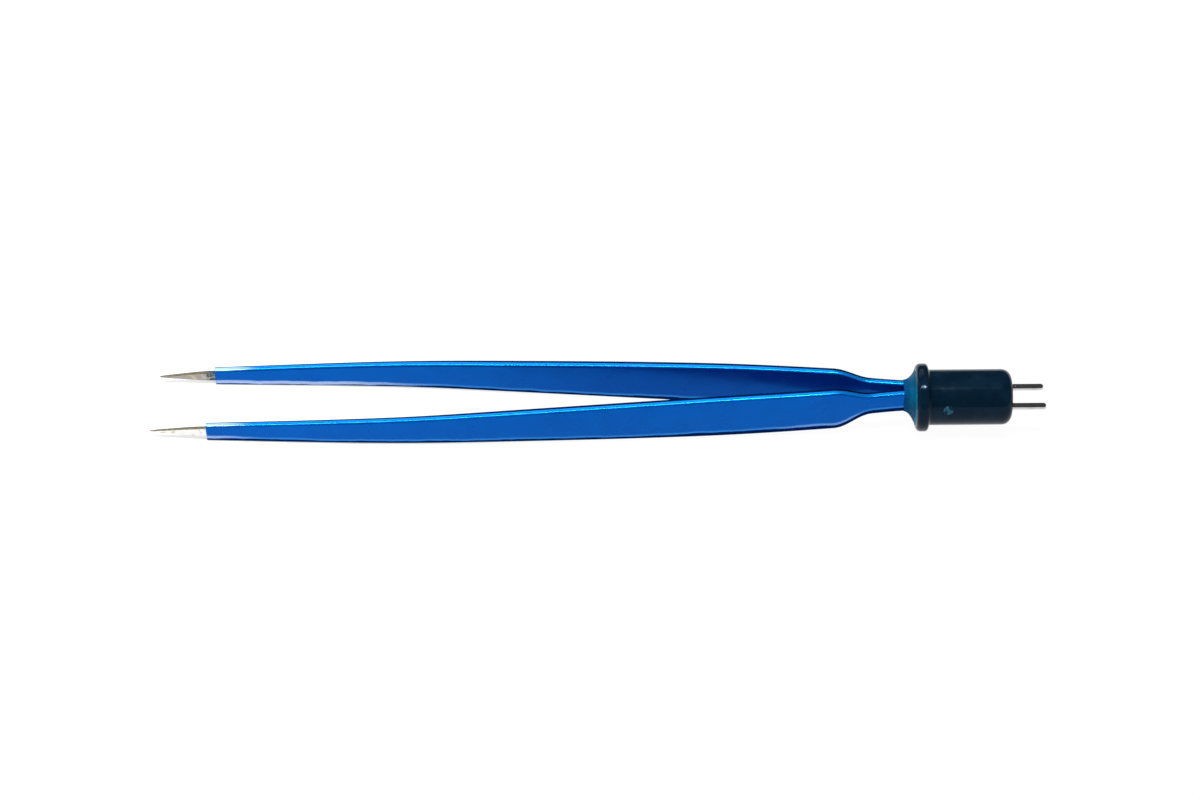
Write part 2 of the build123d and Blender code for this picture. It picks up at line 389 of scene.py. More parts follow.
def bar(front, rear, slice_length, section, side, roundings, segments):
    """A bar that follows section(x) from front to rear, its lower and upper long edges rounded."""
    bm = bmesh.new()
    bmesh.ops.create_cube(bm, size=1)
    bmesh.ops.translate(bm, vec=(0.5, 0, 0), verts=bm.verts)
    bmesh.ops.scale(bm, vec=(rear - front, 1, 1), verts=bm.verts)
    bmesh.ops.translate(bm, vec=(front, 0, 0), verts=bm.verts)
    slices = round((rear - front) / slice_length)
    for i in range(1, slices):
        cut = front + (rear - front) * i / slices
        bmesh.ops.bisect_plane(
            bm, geom=bm.verts[:] + bm.edges[:] + bm.faces[:], plane_co=(cut, 0, 0), plane_no=(1, 0, 0)
        )
    for v in bm.verts:
        offset, height, half_width, half_thickness = section(v.co.x)
        outward = 1 if v.co.y * side > 0 else -1
        v.co.y = side * (offset + outward * half_thickness)
        v.co.z = height + (half_width if v.co.z > 0 else -half_width)
    long_edges = [e for e in bm.edges if abs(e.verts[0].co.x - e.verts[1].co.x) > slice_length / 4]
    upper = [e for e in long_edges if all(v.co.z > section(v.co.x)[1] for v in e.verts)]
    lower = [e for e in long_edges if e not in upper]
    for edges, rounding in zip((lower, upper), roundings):
        bmesh.ops.bevel(
            bm,
            geom=edges,
            offset=rounding,
            segments=segments,
            affect="EDGES",
            profile=0.5,
            material=-1,
            loop_slide=True,
            clamp_overlap=True,
        )
    return bm


def note_margins(bm, section, side):
    """Notes on each point its distances from the section's lower and upper edges and middle, in mm."""
    lower = bm.verts.layers.float.new("from_lower_edge")
    upper = bm.verts.layers.float.new("from_upper_edge")
    back = bm.verts.layers.float.new("towards_back")
    inward = bm.verts.layers.float.new("inward")
    for v in bm.verts:
        offset, height, half_width, half_thickness = section(v.co.x)
        v[lower] = (v.co.z - height + half_width) / MM
        v[upper] = (height + half_width - v.co.z) / MM
        v[back] = (v.co.y - side * offset + half_thickness) / MM
        v[inward] = 1.0 if v.co.y * side < offset else 0.0


def soften_ends(bm, x, radius, segments):
    """Rounds the edge of the end face at a station."""
    rim = [
        e
        for e in bm.edges
        if all(abs(v.co.x - x) < SAME_PLACE for v in e.verts) and len(e.link_faces) == 2
        and any(abs(f.normal.x) < 0.7 for f in e.link_faces)
    ]
    bmesh.ops.bevel(
        bm,
        geom=rim,
        offset=radius,
        segments=segments,
        affect="EDGES",
        profile=0.5,
        material=-1,
        clamp_overlap=True,
    )


class Nodes:
    """A short way to write a material's node tree."""

    def __init__(self, tree):
        self.tree = tree

    def add(self, kind, values=None, **settings):
        """A new node, with settings on the node itself and values or links on its inputs."""
        made = self.tree.nodes.new(kind)
        for key, value in settings.items():
            setattr(made, key, value)
        for key, value in (values or {}).items():
            if isinstance(value, bpy.types.NodeSocket):
                self.tree.links.new(value, made.inputs[key])
            else:
                made.inputs[key].default_value = value
        return made

    def mix(self, factor, first, second):
        """Two colours mixed by a mask."""
        made = self.add("ShaderNodeMix", data_type="RGBA")
        for socket, value in zip((made.inputs[0], made.inputs[6], made.inputs[7]), (factor, first, second)):
            if isinstance(value, bpy.types.NodeSocket):
                self.tree.links.new(value, socket)
            else:
                socket.default_value = value
        return made.outputs[2]

    def math(self, operation, first, second=0.0, clamp=False):
        """One arithmetic step."""
        made = self.add("ShaderNodeMath", {0: first, 1: second}, operation=operation, use_clamp=clamp)
        return made.outputs[0]

    def spread(self, value, low, high, out_low, out_high):
        """A value between low and high spread over another range, smoothly."""
        made = self.add(
            "ShaderNodeMapRange",
            {"Value": value, "From Min": low, "From Max": high, "To Min": out_low, "To Max": out_high},
            interpolation_type="SMOOTHSTEP",
        )
        return made.outputs["Result"]

    def noise(self, place, scale, detail=2.0, roughness=0.5):
        """Soft noise at a place."""
        values = {"Vector": place, "Scale": scale, "Detail": detail, "Roughness": roughness}
        return self.add("ShaderNodeTexNoise", values).outputs["Fac"]

    def noted(self, name):
        """A value that note_margins left on the mesh."""
        return self.add("ShaderNodeAttribute", attribute_name=name).outputs["Fac"]

    def place(self):
        """The place on the object, and the same split into its three coordinates."""
        place = self.add("ShaderNodeTexCoord").outputs["Object"]
        return place, self.add("ShaderNodeSeparateXYZ", {"Vector": place}).outputs


def rgba(value):
    """A property's colour as a socket takes it."""
    return (*value, 1.0)


def group(name, inputs, outputs):
    """An empty node group with named number inputs and outputs."""
    tree = bpy.data.node_groups.new(name, "ShaderNodeTree")
    for label, default in inputs:
        made = tree.interface.new_socket(label, in_out="INPUT", socket_type="NodeSocketFloat")
        made.default_value = default
    for label in outputs:
        tree.interface.new_socket(label, in_out="OUTPUT", socket_type="NodeSocketFloat")
    nodes = Nodes(tree)
    return tree, nodes, nodes.add("NodeGroupInput").outputs, nodes.add("NodeGroupOutput").inputs


def make_surface_grain():
    """Fine unevenness of a sprayed, cast or moulded surface, with broad soft clouds under it."""
    tree, nodes, given, result = group(
        "surface_grain", (("Grain", 2000.0), ("Clouds", 120.0)), ("Height", "Cloud", "Speck")
    )
    place = nodes.place()[0]
    speck = nodes.add("ShaderNodeTexVoronoi", {"Vector": place, "Scale": given["Grain"]})
    tree.links.new(nodes.noise(place, given["Grain"], detail=3.0), result["Height"])
    tree.links.new(nodes.noise(place, given["Clouds"], detail=4.0), result["Cloud"])
    tree.links.new(speck.outputs["Distance"], result["Speck"])
    return tree


def make_drawn_lines():
    """Fine lines along the instrument, as grinding or drawing leaves them."""
    tree, nodes, given, result = group(
        "drawn_lines", (("Lines", 9000.0), ("Length", 0.02), ("Patches", 700.0)), ("Line", "Patch")
    )
    place, split = nodes.place()
    drawn = nodes.math("MULTIPLY", split["X"], given["Length"])
    stretched = nodes.add("ShaderNodeCombineXYZ", {"X": drawn, "Y": split["Y"], "Z": split["Z"]})
    tree.links.new(nodes.noise(stretched.outputs[0], given["Lines"]), result["Line"])
    tree.links.new(nodes.noise(place, given["Patches"], detail=3.0), result["Patch"])
    return tree


def placed_group(nodes, name, **values):
    """A shared node group placed in a material with its own values."""
    maker = {"surface_grain": make_surface_grain, "drawn_lines": make_drawn_lines}[name]
    tree = bpy.data.node_groups.get(name) or maker()
    made = nodes.add("ShaderNodeGroup", node_tree=tree)
    for key, value in values.items():
        made.inputs[key.capitalize()].default_value = value
    return made.outputs


def new_material(name):
    """An empty material with a Principled shader on its output."""
    material = bpy.data.materials.new(name)
    material.use_nodes = True
    material.node_tree.nodes.clear()
    nodes = Nodes(material.node_tree)
    shader = nodes.add("ShaderNodeBsdfPrincipled")
    output = nodes.add("ShaderNodeOutputMaterial")
    material.node_tree.links.new(shader.outputs[0], output.inputs["Surface"])
    return material, nodes, shader


def link(nodes, value, shader, socket):
    """Feeds a socket of the shader."""
    nodes.tree.links.new(value, shader.inputs[socket])


def bump(nodes, height, shader, distance, strength):
    """Fine relief from a height value."""
    made = nodes.add("ShaderNodeBump", {"Height": height, "Distance": distance, "Strength": strength})
    link(nodes, made.outputs[0], shader, "Normal")


def over(nodes, forward, stretch, first, last):
    """A value that goes from first to last over a stretch of the frame given in millimetres."""
    return nodes.spread(forward, stretch[0] * MM, stretch[1] * MM, first, last)


def lower_edge(nodes, finish, body, forward, inward, sway):
    """The colour with a painted reflection of the table as a pale line above the lower edge, and the mask
    of the painted shade along that edge.
    """
    # The painted reflection is narrow and blue outside, and broad and near white inside the front
    inner = nodes.math("MULTIPLY", inward, over(nodes, forward, INNER_REFLECTION, 1.0, 0.0))
    outward = nodes.math("SUBTRACT", 1.0, inward)
    outer = nodes.math("MULTIPLY", outward, over(nodes, forward, OUTER_REFLECTION, 0.7, 0.0))
    heel = over(nodes, forward, HEEL_START, 0.0, 0.35)
    heel = nodes.math("MULTIPLY", heel, over(nodes, forward, HEEL_END, 1.0, 0.0))
    wide_reflection = nodes.math("MAXIMUM", nodes.math("MAXIMUM", inner, heel), outer)
    low = nodes.math("ADD", nodes.noted("from_lower_edge"), sway)
    low = nodes.math("ADD", low, nodes.math("MULTIPLY", inner, 0.4))
    low = nodes.math("SUBTRACT", low, over(nodes, forward, EDGE_RISE, 0.0, 0.4))
    reach = nodes.math("SUBTRACT", low, nodes.math("MULTIPLY", wide_reflection, 0.45))
    start = nodes.spread(low, 0.75, 0.95, 0.0, 1.0)
    band = nodes.math("MULTIPLY", start, nodes.spread(reach, 1.1, 1.5, 1.0, 0.0))
    pale = nodes.mix(wide_reflection, rgba(finish.coat_painted_table_reflection), rgba(finish.coat_painted_wide_reflection))
    # Painted reflection: the pale line of the table reflected above the lower edge
    body = nodes.mix(nodes.math("MULTIPLY", band, 0.85), body, pale)
    # Painted shade: the mask of the navy along the lower edge
    return body, nodes.spread(low, 0.7, 0.9, 1.0, 0.0)


def upper_edge(nodes, finish, body, forward, sway):
    """The colour with a painted highlight on the crown, whiter at the very front, and the mask of the
    painted shade behind it.
    """
    upper = nodes.noted("from_upper_edge")
    crown = nodes.math("ADD", upper, nodes.math("MULTIPLY", sway, 0.5))
    crown = nodes.spread(crown, 0.1, 0.32, 0.9, 0.0)
    # Painted highlight: the crown lit by the overhead lamps
    body = nodes.mix(crown, body, rgba(finish.coat_painted_crown_highlight))
    # Painted highlight: a whiter glint on the front of the crown
    front_glint = nodes.math("MULTIPLY", crown, over(nodes, forward, CROWN_FRONT_GLINT, 0.8, 0.0))
    body = nodes.mix(front_glint, body, rgba(finish.coat_painted_front_glint))
    # Painted shade: the dark line along the upper back edge
    behind = nodes.spread(nodes.noted("towards_back"), 0.92, 1.1, 0.0, 1.0)
    return body, nodes.math("MULTIPLY", behind, nodes.spread(upper, 0.9, 1.2, 1.0, 0.0))


def coat_material(finish):
    """Glossy sprayed insulation with a slight orange peel, with painted shade along its edges and on the
    inner faces near the plug, a painted highlight on the crown and a painted reflection above the lower
    edge.
    """
    material, nodes, shader = new_material("insulation_coat")
    grain = placed_group(nodes, "surface_grain", grain=1400.0, clouds=160.0)
    forward = nodes.place()[1]["X"]
    inward = nodes.noted("inward")
    sway = nodes.spread(grain["Cloud"], 0.3, 0.7, -0.12, 0.12)
    clouds = nodes.spread(grain["Cloud"], 0.35, 0.65, 0.0, 0.6)
    body = nodes.mix(clouds, rgba(finish.coat), rgba(finish.coat_deep))
    # Painted shade: the inner faces darken towards the plug, where the other arm shades them
    inner = nodes.math("MULTIPLY", inward, over(nodes, forward, INNER_SHADE, 0.0, 0.75))
    body = nodes.mix(inner, body, rgba(finish.coat_inner_shade))
    body, lower_edge_shade = lower_edge(nodes, finish, body, forward, inward, sway)
    body, line = upper_edge(nodes, finish, body, forward, sway)
    # Painted shade: navy over the lower edge and behind the crown
    edge = nodes.math("MAXIMUM", lower_edge_shade, line)
    link(nodes, nodes.mix(edge, body, rgba(finish.coat_painted_shade_edge)), shader, "Base Color")
    link(nodes, nodes.spread(edge, 0.0, 1.0, 0.6, 1.0), shader, "Metallic")
    link(nodes, nodes.spread(grain["Cloud"], 0.3, 0.7, 0.2, 0.3), shader, "Roughness")
    bump(nodes, grain["Height"], shader, 0.02 * MM, 0.35)
    shader.inputs["Specular Tint"].default_value = (0.01, 0.8, 1.0, 1.0)
    shader.inputs["Specular IOR Level"].default_value = 0.8
    return material


def shell_material(finish):
    """Satin dark moulding with fine grain and a faint pale bloom."""
    material, nodes, shader = new_material("shell_plastic")
    grain = placed_group(nodes, "surface_grain", grain=3200.0, clouds=260.0)
    bloom = nodes.spread(grain["Cloud"], 0.42, 0.72, 0.0, 1.0)
    link(nodes, nodes.mix(bloom, rgba(finish.shell), rgba(finish.shell_bloom)), shader, "Base Color")
    link(nodes, nodes.spread(grain["Cloud"], 0.3, 0.7, 0.07, 0.13), shader, "Roughness")
    bump(nodes, grain["Height"], shader, 0.006 * MM, 0.25)
    shader.inputs["Specular IOR Level"].default_value = 0.11
    shader.inputs["Specular Tint"].default_value = (0.6, 0.78, 1.0, 1.0)
    return material


def resin_material(finish, flange_x):
    """Cast teal resin, uneven in depth, with dark flecks, a painted highlight along its rim on the flange
    and partly painted shade in the fill hole.
    """
    material, nodes, shader = new_material("resin")
    grain = placed_group(nodes, "surface_grain", grain=900.0, clouds=420.0)
    depth = nodes.spread(grain["Cloud"], 0.35, 0.65, 0.0, 1.0)
    body = nodes.mix(depth, rgba(finish.resin), rgba(finish.resin_deep))
    fleck = nodes.spread(grain["Speck"], 0.08, 0.16, 0.8, 0.0)
    place, split = nodes.place()
    forward = split["X"]
    front = (LYING @ Vector((flange_x, 0, 0))).x
    in_hole = nodes.spread(forward, front + 1.0 * MM, front + 2.0 * MM, 0.0, 1.0)
    # Painted highlight: a pale line along the resin's edge on the flange
    rim = nodes.spread(forward, front - 0.45 * MM, front - 0.1 * MM, 0.0, 1.0)
    rim = nodes.math("MULTIPLY", rim, nodes.math("SUBTRACT", 1.0, in_hole))
    body = nodes.mix(nodes.math("MULTIPLY", rim, 0.7), body, rgba(finish.resin_painted_rim_highlight))
    # Thin resin at the front lets the blue coating show through
    sheer = nodes.spread(forward, front - 2.0 * MM, front - 1.1 * MM, 0.9, 0.0)
    body = nodes.mix(sheer, body, rgba(finish.resin_sheer))
    chips = nodes.spread(nodes.noise(place, 1300.0, 3.0, 0.7), 0.5, 0.56, 0.0, 1.0)
    # Partly painted shade: the dull resin in the fill hole is also darkened for the shade of the recess
    filled = nodes.mix(chips, rgba(finish.resin_dull_and_shade), rgba(finish.shell_bloom))
    body = nodes.mix(in_hole, body, filled)
    link(nodes, nodes.mix(fleck, body, rgba(finish.residue)), shader, "Base Color")
    link(nodes, nodes.spread(grain["Cloud"], 0.3, 0.7, 0.38, 0.54), shader, "Roughness")
    bump(nodes, grain["Height"], shader, 0.03 * MM, 0.4)
    shader.inputs["Specular IOR Level"].default_value = 0.04
    shader.inputs["Specular Tint"].default_value = (0.1, 0.7, 1.0, 1.0)
    return material


def steel_material(finish, form):
    """Ground steel with drawn lines, straw-coloured patches, and torn coating close to its edge, darker on
    the inner faces partly as painted shade, with a painted dark reflection along the upper edge.
    """
    material, nodes, shader = new_material("blade_steel")
    lines = placed_group(nodes, "drawn_lines", lines=9000.0, length=0.03)
    straw = nodes.spread(lines["Patch"], 0.52, 0.66, 0.0, 0.8)
    # Partly painted shade: the inner faces are duller ground steel and also darkened for the shade between
    # the arms
    shaded_ground = nodes.mix(nodes.noted("inward"), rgba(finish.steel), rgba(finish.steel_ground_and_shade))
    metal = nodes.mix(straw, shaded_ground, rgba(finish.straw))
    # Painted reflection: a dark brown line along the upper edge for the dark room reflected there
    dark_top_reflection = nodes.spread(nodes.noted("from_upper_edge"), 0.04, 0.16, 0.9, 0.0)
    metal = nodes.mix(dark_top_reflection, metal, rgba(finish.steel_painted_dark_top))
    place, split = nodes.place()
    edge = (LYING @ Vector((form.coat_front, 0, 0))).x
    close = nodes.spread(split["X"], edge - 3.4 * MM, edge - 0.4 * MM, 0.0, 1.0)
    on_far = nodes.spread(split["Y"], 0.0, 4 * MM, 0.25, 1.0)
    reach = nodes.math("MULTIPLY", close, on_far)
    torn = nodes.math("ADD", nodes.noise(place, 1500.0, 4.0, 0.7), nodes.math("MULTIPLY", reach, 0.28))
    residue = nodes.spread(torn, 0.68, 0.72, 0.0, 1.0)
    residue = nodes.math("MULTIPLY", residue, nodes.spread(reach, 0.02, 0.2, 0.0, 1.0), clamp=True)
    link(nodes, nodes.mix(residue, metal, rgba(finish.residue)), shader, "Base Color")
    link(nodes, nodes.math("SUBTRACT", 1.0, residue), shader, "Metallic")
    link(nodes, nodes.spread(lines["Line"], 0.3, 0.7, 0.2, 0.38), shader, "Roughness")
    height = nodes.math("ADD", lines["Line"], nodes.math("MULTIPLY", residue, 4.0))
    bump(nodes, height, shader, 0.01 * MM, 0.6)
    return material


def pin_material(finish):
    """Polished plated pins with faint lines along them."""
    material, nodes, shader = new_material("pin_steel")
    lines = placed_group(nodes, "drawn_lines", lines=5000.0, length=0.02)
    dull = nodes.spread(lines["Patch"], 0.45, 0.7, 0.0, 0.35)
    link(nodes, nodes.mix(dull, rgba(finish.pin), rgba(finish.steel_ground_and_shade)), shader, "Base Color")
    link(nodes, nodes.spread(lines["Line"], 0.3, 0.7, 0.02, 0.05), shader, "Roughness")
    bump(nodes, lines["Line"], shader, 0.001 * MM, 0.05)
    shader.inputs["Metallic"].default_value = 1.0
    return material


def floor_material():
    """A white table that stays white to the camera and to reflections, and keeps the shadows."""
    material = bpy.data.materials.new("white_table")
    material.use_nodes = True
    material.node_tree.nodes.clear()
    nodes = Nodes(material.node_tree)
    path = nodes.add("ShaderNodeLightPath").outputs
    seen = nodes.math("MAXIMUM", path["Is Camera Ray"], path["Is Glossy Ray"])
    seen = nodes.math("MAXIMUM", seen, path["Is Transmission Ray"])
    matt = nodes.add("ShaderNodeBsdfDiffuse", {"Color": (0.86, 0.86, 0.86, 1.0)})
    white = nodes.add("ShaderNodeEmission", {"Color": (1.0, 1.0, 1.0, 1.0), "Strength": 1.0})
    forward = nodes.place()[1]["X"]
    share = nodes.math("MULTIPLY", seen, over(nodes, forward, TABLE_SHADE, 0.5, 0.965))
    mixed = nodes.add("ShaderNodeMixShader", {0: share, 1: matt.outputs[0], 2: white.outputs[0]})
    output = nodes.add("ShaderNodeOutputMaterial")
    material.node_tree.links.new(mixed.outputs[0], output.inputs["Surface"])
    return material


def bend_neck(piece):
    """Bakes the piece's placement into its mesh."""
    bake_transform(piece)


class FORCEPS_OT_coats(bpy.types.Operator):
    """Make the blue insulation of both arms"""

    bl_idname = "forceps.coats"
    bl_label = "Insulation"

    def execute(self, context):
        arm = context.scene.forceps_arm
        form = ArmForm(arm)
        material = coat_material(context.scene.forceps_finish)
        for name, side in SIDES.items():
            roundings = (arm.rounding, arm.upper_rounding)
            bm = bar(form.coat_front, form.coat_rear, arm.slice_length, form.coated, side, roundings, 8)
            soften_ends(bm, form.coat_front, arm.coat / 2, 3)
            note_margins(bm, form.coated, side)
            piece = new_piece(f"{name}_coat", bm, material)
            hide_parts(f"{name}_insulation")
            bend_neck(piece)
        return {"FINISHED"}


class FORCEPS_OT_blades(bpy.types.Operator):
    """Make the steel blades with their bare pointed tips"""

    bl_idname = "forceps.blades"
    bl_label = "Blades"

    def execute(self, context):
        arm = context.scene.forceps_arm
        form = ArmForm(arm)
        material = steel_material(context.scene.forceps_finish, form)
        for name, side in SIDES.items():
            roundings = (arm.tip_rounding, arm.tip_rounding)
            bm = bar(form.tip, form.tail, arm.slice_length / 2, form.steel, side, roundings, 3)
            soften_ends(bm, form.tip, arm.tip_rounding, 3)
            note_margins(bm, form.steel, side)
            piece = new_piece(f"{name}_steel", bm, material)
            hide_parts(f"{name}_blade")
            bend_neck(piece)
        return {"FINISHED"}


def turned(corners, steps):
    """A solid of revolution about the axis from (station, radius, rounding) corners."""
    bm = bmesh.new()
    profile = [bm.verts.new((x, 0, radius)) for x, radius, rounding in corners]
    for first, second in zip(profile, profile[1:]):
        bm.edges.new((first, second))
    for vert, (x, radius, rounding) in zip(profile, corners):
        if rounding:
            bmesh.ops.bevel(
                bm, geom=[vert], offset=rounding, segments=8, affect="VERTICES", profile=0.5, material=-1
            )
    bmesh.ops.spin(
        bm,
        geom=bm.verts[:] + bm.edges[:],
        cent=(0, 0, 0),
        axis=(1, 0, 0),
        angle=2 * math.pi,
        steps=steps,
        use_merge=True,
    )
    bmesh.ops.remove_doubles(bm, verts=bm.verts, dist=MERGE_DISTANCE)
    return bm


def body_rear():
    """A point on the plug's flat rear face."""
    mount = MOUNTS["near_pin"]
    return Vector(mount["pos_m"]) - ALONG * mount["dims"]["length_mm"] * MM / 2


def flange_front(plug):
    """The station of the flange's front face."""
    return station(JOINTS["near_arm_flex"]["pos_m"]) + plug.cone_length


def hole_matrix(plug, depth):
    """The fill hole's place in the instrument's own axes, at a depth under the body's surface."""
    radius = plug.body_diameter / 2 - depth
    outward = Vector((0, -math.cos(plug.hole_angle), math.sin(plug.hole_angle)))
    along = Vector((1, 0, 0))
    turn = Matrix((along, outward.cross(along), outward)).transposed().to_4x4()
    x = flange_front(plug) + plug.flange_thickness + plug.hole_setback
    return Matrix.Translation(Vector((x, 0, 0)) + outward * radius) @ turn


def cut_fill_hole(piece, plug):
    """Cuts the round fill hole into the shell."""
    bm = bmesh.new()
    depth = plug.hole_depth * 2
    bmesh.ops.create_cone(
        bm,
        cap_ends=True,
        segments=48,
        radius1=plug.hole_diameter / 2,
        radius2=plug.hole_diameter / 2,
        depth=depth,
        matrix=hole_matrix(plug, 0),
    )
    cutter = new_piece("fill_hole_cutter", bm, piece.data.materials[0])
    modifier = piece.modifiers.new("fill_hole", "BOOLEAN")
    modifier.operation = "DIFFERENCE"
    modifier.solver = "EXACT"
    modifier.object = cutter
    evaluated = piece.evaluated_get(bpy.context.evaluated_depsgraph_get())
    mesh = bpy.data.meshes.new_from_object(evaluated)
    piece.modifiers.clear()
    piece.data = mesh
    bpy.data.objects.remove(cutter)
    mesh.set_sharp_from_angle(angle=math.radians(40))


class FORCEPS_OT_shell(bpy.types.Operator):
    """Make the moulded plug shell with its rounded flange"""

    bl_idname = "forceps.shell"
    bl_label = "Plug shell"

    def execute(self, context):
        plug = context.scene.forceps_plug
        rear = station(body_rear())
        front = flange_front(plug)
        corners = (
            (front + plug.mouth_depth, 0, 0),
            (front + plug.mouth_depth, plug.mouth_diameter / 2, 0),
            (front, plug.mouth_diameter / 2, 0),
            (front, plug.flange_diameter / 2, plug.flange_rounding),
            (front + plug.flange_thickness, plug.flange_diameter / 2, plug.flange_rear_rounding),
            (front + plug.flange_thickness, plug.body_diameter / 2, plug.root_fillet),
            (rear, plug.body_diameter / 2, plug.body_rear_rounding),
            (rear, 0, 0),
        )
        bm = turned(corners, plug.steps)
        piece = new_piece("moulded_shell", bm, shell_material(context.scene.forceps_finish), "plug")
        cut_fill_hole(piece, plug)
        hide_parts("plug_shell")
        return {"FINISHED"}


def hugging(gone, plug):
    """How closely the resin hugs the necks, from 0 on the flange to 1 at its front."""
    return 1 - (1 - gone) ** plug.resin_spread


def shape_ring_point(v, x, angle, hug, plug, arm):
    """Moves a ring's point onto the flare between the flange's circle and the necks' outline."""
    half_across = arm.mouth_offset + arm.neck_thickness / 2 + plug.resin_margin
    half_up = arm.neck_width / 2 + plug.resin_margin
    across, up = math.cos(angle), math.sin(angle)
    squareness = 5.0
    squared = (abs(across) / half_across) ** squareness + (abs(up) / half_up) ** squareness
    reach = squared ** (-1 / squareness)
    ripple = plug.resin_ripple * noise.noise(Vector((across * 2, up * 2, x * 400)))
    radius = plug.cone_base / 2 * (1 - hug) + reach * hug + ripple
    v.co = (x, radius * across, radius * up + arm.neck_rise * hug)


def flare(plug, arm, front):
    """The resin's hollow flare, from a circle on the flange to the outline of the two necks."""
    bm = bmesh.new()
    bmesh.ops.create_circle(
        bm,
        cap_ends=True,
        segments=plug.steps,
        radius=plug.cone_base / 2,
        matrix=Matrix.Translation((front, 0, 0)) @ Matrix.Rotation(math.radians(-90), 4, "Y"),
    )
    bmesh.ops.translate(bm, vec=(plug.resin_margin, 0, 0), verts=bm.verts)
    ring = bm.faces[:]
    for i in range(plug.rings + 1):
        out = bmesh.ops.extrude_face_region(bm, geom=ring)
        fresh = [v for v in out["geom"] if isinstance(v, bmesh.types.BMVert)]
        bmesh.ops.delete(bm, geom=ring, context="FACES_ONLY")
        ring = [f for f in out["geom"] if isinstance(f, bmesh.types.BMFace)]
        gone = i / plug.rings
        hugged = hugging(max(i - 1, 0) / plug.rings, plug)
        for v in fresh:
            angle = math.atan2(v.co.z - arm.neck_rise * hugged, v.co.y)
            shape_ring_point(v, front - plug.cone_length * gone, angle, hugging(gone, plug), plug, arm)
    return bm


def add_hole_fill(bm, plug):
    """Adds the small domed plug of resin in the fill hole."""
    made = bmesh.ops.create_cone(
        bm,
        cap_ends=True,
        segments=48,
        radius1=plug.hole_diameter / 2,
        radius2=plug.hole_diameter / 2,
        depth=plug.hole_depth,
        matrix=hole_matrix(plug, plug.hole_depth / 2 + plug.hole_sink),
    )
    outer = [v for v in made["verts"] if v.co.yz.length > (plug.body_diameter - plug.hole_depth) / 2]
    rim = [e for e in bm.edges if e.verts[0] in outer and e.verts[1] in outer]
    bmesh.ops.bevel(
        bm, geom=rim, offset=plug.hole_sink, segments=3, affect="EDGES", profile=0.5, material=-1
    )


class FORCEPS_OT_resin(bpy.types.Operator):
    """Make the potting resin that hugs the necks and fills the fill hole"""

    bl_idname = "forceps.resin"
    bl_label = "Potting resin"

    def execute(self, context):
        plug = context.scene.forceps_plug
        front = flange_front(plug)
        bm = flare(plug, context.scene.forceps_arm, front)
        add_hole_fill(bm, plug)
        material = resin_material(context.scene.forceps_finish, front)
        piece = new_piece("potting_resin", bm, material, "plug")
        piece.data.set_sharp_from_angle(angle=math.radians(50))
        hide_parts("potting")
        return {"FINISHED"}


class FORCEPS_OT_pins(bpy.types.Operator):
    """Make the two contact pins with their collars and solder tangs"""

    bl_idname = "forceps.pins"
    bl_label = "Contact pins"

    def execute(self, context):
        sizes = context.scene.forceps_pins
        rear = station(body_rear())
        end = rear + sizes.reach
        floor = rear - sizes.rear_wall
        collar = floor - sizes.collar_length
        material = pin_material(context.scene.forceps_finish)
        for name in SIDES:
            middle = TO_INSTRUMENT @ Vector(MOUNTS[f"{name}_pin"]["pos_m"])
            corners = (
                (collar, 0, 0),
                (collar, sizes.collar / 2, 0),
                (floor, sizes.collar / 2, 0),
                (floor, sizes.shank / 2, 0),
                (rear, sizes.shank / 2, 0),
                (rear, sizes.diameter / 2, 0),
                (end, sizes.diameter / 2, sizes.nose),
                (end, 0, 0),
            )
            bm = turned(corners, sizes.steps)
            tang = bmesh.ops.create_cube(bm, size=1)["verts"]
            front = node_end(f"{name}_contact_pin", 0)
            bmesh.ops.scale(bm, vec=(collar - front, sizes.tang_thickness, sizes.tang_width), verts=tang)
            bmesh.ops.translate(bm, vec=((collar + front) / 2, 0, 0), verts=tang)
            bmesh.ops.translate(bm, vec=(0, middle.y, middle.z), verts=bm.verts)
            piece = new_piece(f"{name}_pin", bm, material, "plug")
            piece.data.set_sharp_from_angle(angle=math.radians(40))
            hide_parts(f"{name}_contact_pin")
        return {"FINISHED"}


def lay_table():
    """The white table under the instrument."""
    bm = bmesh.new()
    bmesh.ops.create_grid(bm, x_segments=1, y_segments=1, size=4.0)
    mesh = bpy.data.meshes.new("table")
    bm.to_mesh(mesh)
    bm.free()
    mesh.materials.append(floor_material())
    table = bpy.data.objects.new("table", mesh)
    bpy.context.scene.collection.objects.link(table)


def lamp(name, place, spread, power):
    """A rectangular lamp that faces the instrument's axis squarely."""
    data = bpy.data.lights.new(name, "AREA")
    data.shape = "RECTANGLE"
    data.size, data.size_y = spread
    data.energy = power
    made = bpy.data.objects.new(name, data)
    made.location = place
    made.rotation_euler = Vector((0, *place[1:])).to_track_quat("Z", "Y").to_euler()
    bpy.context.scene.collection.objects.link(made)
    return made


def hang_lamps(stage):
    """Four lamps, each with its place and its width and depth in metres."""
    lamp("overhead_strip", (-0.28, -0.15, 0.75), (0.74, 0.08), stage.strip_power)
    lamp("over_plug", (0.1175, -0.15, 0.75), (0.055, 0.08), stage.plug_power)
    lamp("back_window", (-0.285, 0.62, 0.56), (0.83, 0.45), stage.back_power)
    lamp("soft_overhead", (0.0, 0.2, 1.2), (1.6, 1.2), stage.soft_power).visible_glossy = False


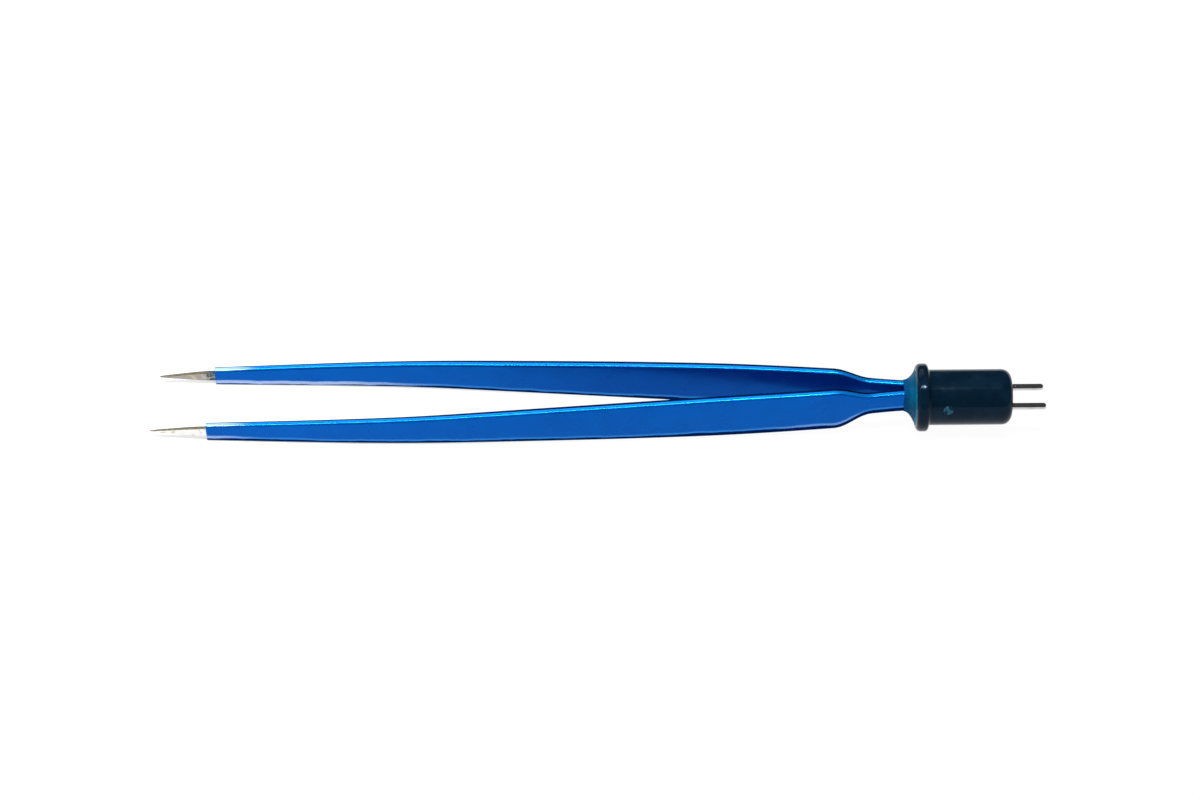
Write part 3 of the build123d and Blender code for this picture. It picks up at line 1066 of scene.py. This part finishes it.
def light_room(stage):
    """Even light all round that reflections see as a dim ceiling and the camera as white."""
    world = bpy.data.worlds.new("studio")
    world.use_nodes = True
    background = world.node_tree.nodes["Background"]
    nodes = Nodes(world.node_tree)
    path = nodes.add("ShaderNodeLightPath").outputs
    lit = nodes.add("ShaderNodeMix", {0: path["Is Glossy Ray"], 2: stage.sky, 3: stage.ceiling})
    seen = nodes.math("MAXIMUM", path["Is Camera Ray"], path["Is Transmission Ray"])
    strength = nodes.add("ShaderNodeMix", {0: seen, 2: lit.outputs[0], 3: 1.0})
    world.node_tree.links.new(strength.outputs[0], background.inputs["Strength"])
    background.inputs["Color"].default_value = (1.0, 1.0, 1.0, 1.0)
    bpy.context.scene.world = world


def aim_camera(stage):
    """The camera as the photograph was taken."""
    data = bpy.data.cameras.new("photo_view")
    data.lens = stage.lens
    data.sensor_width = 36
    data.clip_start = 0.01
    camera = bpy.data.objects.new("photo_view", data)
    bpy.context.scene.collection.objects.link(camera)
    level = math.cos(stage.elevation)
    out = Vector(
        (math.sin(stage.azimuth) * level, -math.cos(stage.azimuth) * level, math.sin(stage.elevation))
    )
    camera.location = ORIGIN + Vector((stage.aside, 0, 0)) + out * stage.distance
    roll = Quaternion((0, 0, 1), stage.roll)
    camera.rotation_euler = (out.to_track_quat("Z", "Y") @ roll).to_euler()
    bpy.context.scene.camera = camera


class FORCEPS_OT_stage(bpy.types.Operator):
    """Set the white table, the lamps and the camera"""

    bl_idname = "forceps.stage"
    bl_label = "Stage"

    def execute(self, context):
        stage = context.scene.forceps_stage
        lay_table()
        hang_lamps(stage)
        light_room(stage)
        aim_camera(stage)
        context.scene.view_settings.view_transform = "Standard"
        return {"FINISHED"}


class FORCEPS_PT_panel(bpy.types.Panel):
    """Lists the steps that dress the forceps."""

    bl_label = "Bipolar Forceps"
    bl_space_type = "VIEW_3D"
    bl_region_type = "UI"
    bl_category = "Forceps"

    def draw(self, context):
        for operator in OPERATORS:
            self.layout.operator(operator.bl_idname)
        for name in GROUPS:
            box = self.layout.box()
            settings = getattr(context.scene, name)
            for key in settings.bl_rna.properties.keys():
                if key not in ("rna_type", "name"):
                    box.prop(settings, key)


GROUPS = {
    "forceps_arm": ArmSizes,
    "forceps_plug": PlugSizes,
    "forceps_pins": PinSizes,
    "forceps_finish": Finishes,
    "forceps_stage": StageSettings,
}
OPERATORS = (
    FORCEPS_OT_stage,
    FORCEPS_OT_blades,
    FORCEPS_OT_coats,
    FORCEPS_OT_shell,
    FORCEPS_OT_resin,
    FORCEPS_OT_pins,
)


def register():
    """Adds the settings, the operators and the panel."""
    for cls in (*GROUPS.values(), *OPERATORS, FORCEPS_PT_panel):
        bpy.utils.register_class(cls)
    for name, cls in GROUPS.items():
        setattr(bpy.types.Scene, name, PointerProperty(type=cls))


def unregister():
    """Takes them away again."""
    for name in GROUPS:
        delattr(bpy.types.Scene, name)
    for cls in reversed((*GROUPS.values(), *OPERATORS, FORCEPS_PT_panel)):
        bpy.utils.unregister_class(cls)


def main():
    """Registers the steps and runs each of them to dress the forceps."""
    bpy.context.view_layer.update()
    register()
    for operator in OPERATORS:
        area, action = operator.bl_idname.split(".")
        getattr(getattr(bpy.ops, area), action)()


if __name__ == "__main__":
    main()
